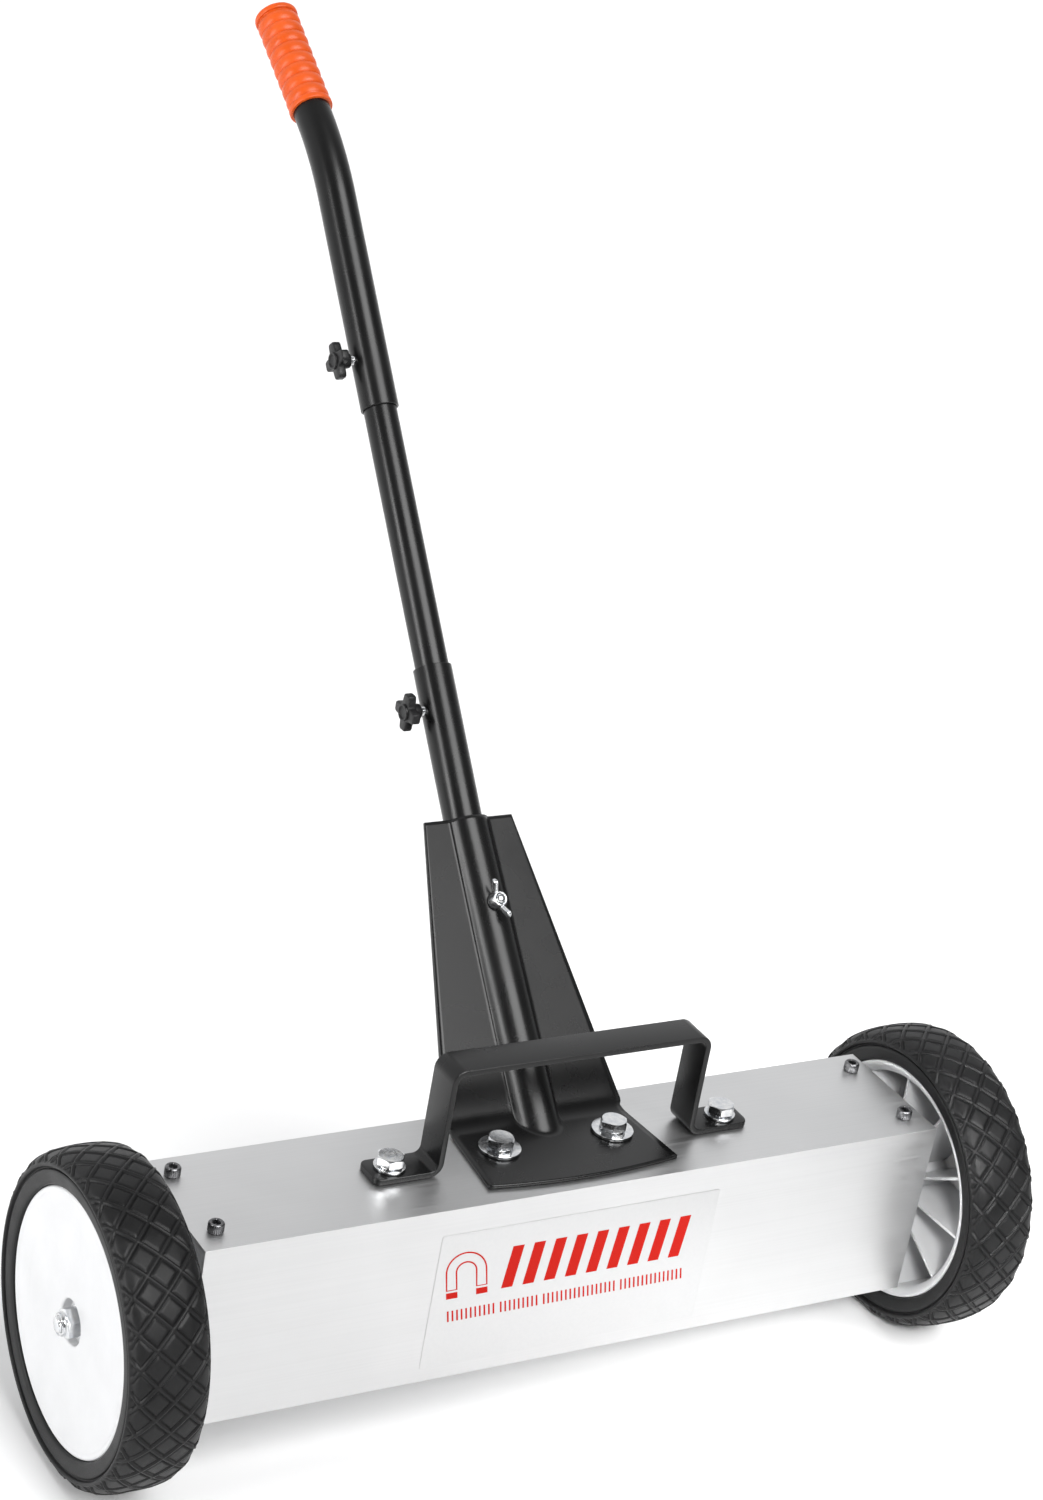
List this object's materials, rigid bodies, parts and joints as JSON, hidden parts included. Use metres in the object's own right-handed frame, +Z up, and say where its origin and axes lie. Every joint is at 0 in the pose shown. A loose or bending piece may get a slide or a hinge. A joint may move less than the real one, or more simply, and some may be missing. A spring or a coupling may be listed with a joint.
{
  "type": "magnetic nail sweeper",
  "caption": "Two-wheeled magnetic floor sweeper: aluminium box with lift-out magnets, strap release handle and a telescopic bent pole with a ribbed grip.",
  "frame": {"origin": "middle of the whole outline on the ground, with the box level and the pole leaning back", "axes": "+X along the axle to the right wheel, +Y back toward the user, +Z up"},
  "size_m": [0.6532, 0.6827, 0.7404],
  "materials": {
    "satin_aluminium": "satin",
    "galvanised_steel": "dull galvanised",
    "zinc_plated_steel": "bright zinc plate",
    "blackened_steel": "blackened",
    "black_painted_steel": "satin powder coat",
    "black_plastic": "moulded",
    "white_plastic": "moulded",
    "black_rubber": "moulded",
    "orange_vinyl": "soft, slightly shiny",
    "ferrite_magnet": "ground",
    "white_film": "printed film"
  },
  "bodies": {
    "chassis": {"housing_shell": "satin_aluminium", "end_plate_left": "galvanised_steel", "end_plate_right": "galvanised_steel", "corner_screw_left_front": "blackened_steel", "corner_screw_left_rear": "blackened_steel", "corner_screw_right_front": "blackened_steel", "corner_screw_right_rear": "blackened_steel", "front_label": "white_film", "bracket_plate": "black_painted_steel", "bracket_bolt_left": "zinc_plated_steel", "bracket_washer_left": "zinc_plated_steel", "bracket_inner_washer_left": "zinc_plated_steel", "bracket_nut_left": "zinc_plated_steel", "bracket_bolt_right": "zinc_plated_steel", "bracket_washer_right": "zinc_plated_steel", "bracket_inner_washer_right": "zinc_plated_steel", "bracket_nut_right": "zinc_plated_steel", "lower_tube": "black_painted_steel", "wing_bolt": "zinc_plated_steel", "axle_bolt_left": "zinc_plated_steel", "axle_jam_nut_left": "zinc_plated_steel", "axle_inner_washer_left": "zinc_plated_steel", "axle_outer_washer_left": "zinc_plated_steel", "axle_lock_nut_left": "zinc_plated_steel", "axle_bolt_right": "zinc_plated_steel", "axle_jam_nut_right": "zinc_plated_steel", "axle_inner_washer_right": "zinc_plated_steel", "axle_outer_washer_right": "zinc_plated_steel", "axle_lock_nut_right": "zinc_plated_steel"},
    "magnet_lift": {"magnet_tray": "galvanised_steel", "magnet_1": "ferrite_magnet", "magnet_2": "ferrite_magnet", "magnet_3": "ferrite_magnet", "magnet_4": "ferrite_magnet", "release_handle": "black_painted_steel", "lift_bolt_left": "zinc_plated_steel", "lift_washer_left": "zinc_plated_steel", "lift_sleeve_left": "zinc_plated_steel", "lift_nut_left": "zinc_plated_steel", "lift_bolt_right": "zinc_plated_steel", "lift_washer_right": "zinc_plated_steel", "lift_sleeve_right": "zinc_plated_steel", "lift_nut_right": "zinc_plated_steel"},
    "wheel_left": {"rim_left": "white_plastic", "tyre_left": "black_rubber"},
    "wheel_right": {"rim_right": "white_plastic", "tyre_right": "black_rubber"},
    "pole_middle": {"middle_tube": "black_painted_steel"},
    "pole_upper": {"upper_tube": "black_painted_steel", "grip": "orange_vinyl"},
    "clamp_lower": {"clamp_knob_lower": "black_plastic", "clamp_stud_lower": "zinc_plated_steel"},
    "clamp_upper": {"clamp_knob_upper": "black_plastic", "clamp_stud_upper": "zinc_plated_steel"},
    "pin_wing_nut": {"wing_nut": "zinc_plated_steel"}
  },
  "joints": [
    {"name": "wheel_left_spin", "type": "hinge", "parent": "chassis", "child": "wheel_left", "pos_m": [-0.297, -0.2398, 0.1016], "axis": [1, 0, 0], "continuous": true},
    {"name": "wheel_right_spin", "type": "hinge", "parent": "chassis", "child": "wheel_right", "pos_m": [0.297, -0.2398, 0.1016], "axis": [1, 0, 0], "continuous": true},
    {"name": "magnet_release_lift", "type": "slide", "parent": "chassis", "child": "magnet_lift", "axis": [0, 0, 1], "range_m": [0, 0.06]},
    {"name": "pole_middle_slide", "type": "slide", "parent": "chassis", "child": "pole_middle", "axis": [0, 0.6566, 0.7543], "range_m": [-0.07, 0.03]},
    {"name": "pole_upper_slide", "type": "slide", "parent": "pole_middle", "child": "pole_upper", "axis": [0, 0.6566, 0.7543], "range_m": [-0.08, 0.024]},
    {"name": "clamp_lower_turn", "type": "hinge", "parent": "chassis", "child": "clamp_lower", "pos_m": [0, -0.02307, 0.36965], "axis": [-1, 0, 0], "range_deg": [0, 720]},
    {"name": "clamp_upper_turn", "type": "hinge", "parent": "pole_upper", "child": "clamp_upper", "pos_m": [0, 0.1349, 0.55112], "axis": [-1, 0, 0], "range_deg": [0, 720]},
    {"name": "wing_nut_turn", "type": "hinge", "parent": "chassis", "child": "pin_wing_nut", "pos_m": [0, -0.12541, 0.28346], "axis": [0, -0.7543, 0.6566], "range_deg": [0, 1080]}
  ]
}
